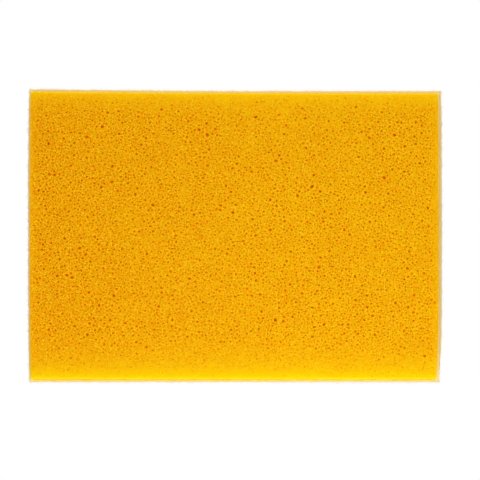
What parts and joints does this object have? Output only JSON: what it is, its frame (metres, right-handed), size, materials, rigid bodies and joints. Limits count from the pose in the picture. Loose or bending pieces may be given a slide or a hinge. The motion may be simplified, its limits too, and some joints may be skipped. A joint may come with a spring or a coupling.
{
  "type": "grout float",
  "caption": "Hand float for washing grout: a thick square-edged sponge pad held by hook and loop under a ribbed board with a bridge handle.",
  "frame": {"origin": "middle of the sponge's flat working face, on the surface that the float stands on", "axes": "+X along the pad's long side and the handle, towards the hanging eye; +Y across the handle; +Z out of the back of the pad, up through the board and the handle"},
  "size_m": [0.244, 0.1728, 0.1091],
  "materials": {
    "sponge": "open-cell foam, cut face, matte",
    "film": "clear glue web",
    "loop_fabric": "brushed loop pile, matte",
    "hook_tape": "moulded hooks on woven tape",
    "glue": "pressure-sensitive glue",
    "board_plastic": "fine moulded texture",
    "handle_plastic": "fine moulded texture",
    "grip_rubber": "soft matte",
    "screw_steel": "bright stainless"
  },
  "bodies": {
    "pad": {"sponge_pad": "sponge", "laminating_film": "film", "loop_backing": "loop_fabric"},
    "board_and_handle": {"hook_strip_left": "hook_tape", "hook_strip_middle": "hook_tape", "hook_strip_right": "hook_tape", "strip_glue": "glue", "base_plate": "board_plastic", "handle_frame": "handle_plastic", "soft_grip": "grip_rubber", "tail_plug": "handle_plastic", "handle_screws": "screw_steel"}
  },
  "joints": [
    {"name": "board_lift", "type": "slide", "parent": "pad", "child": "board_and_handle", "axis": [0, 0, 1], "range_m": [0, 0.04]}
  ]
}
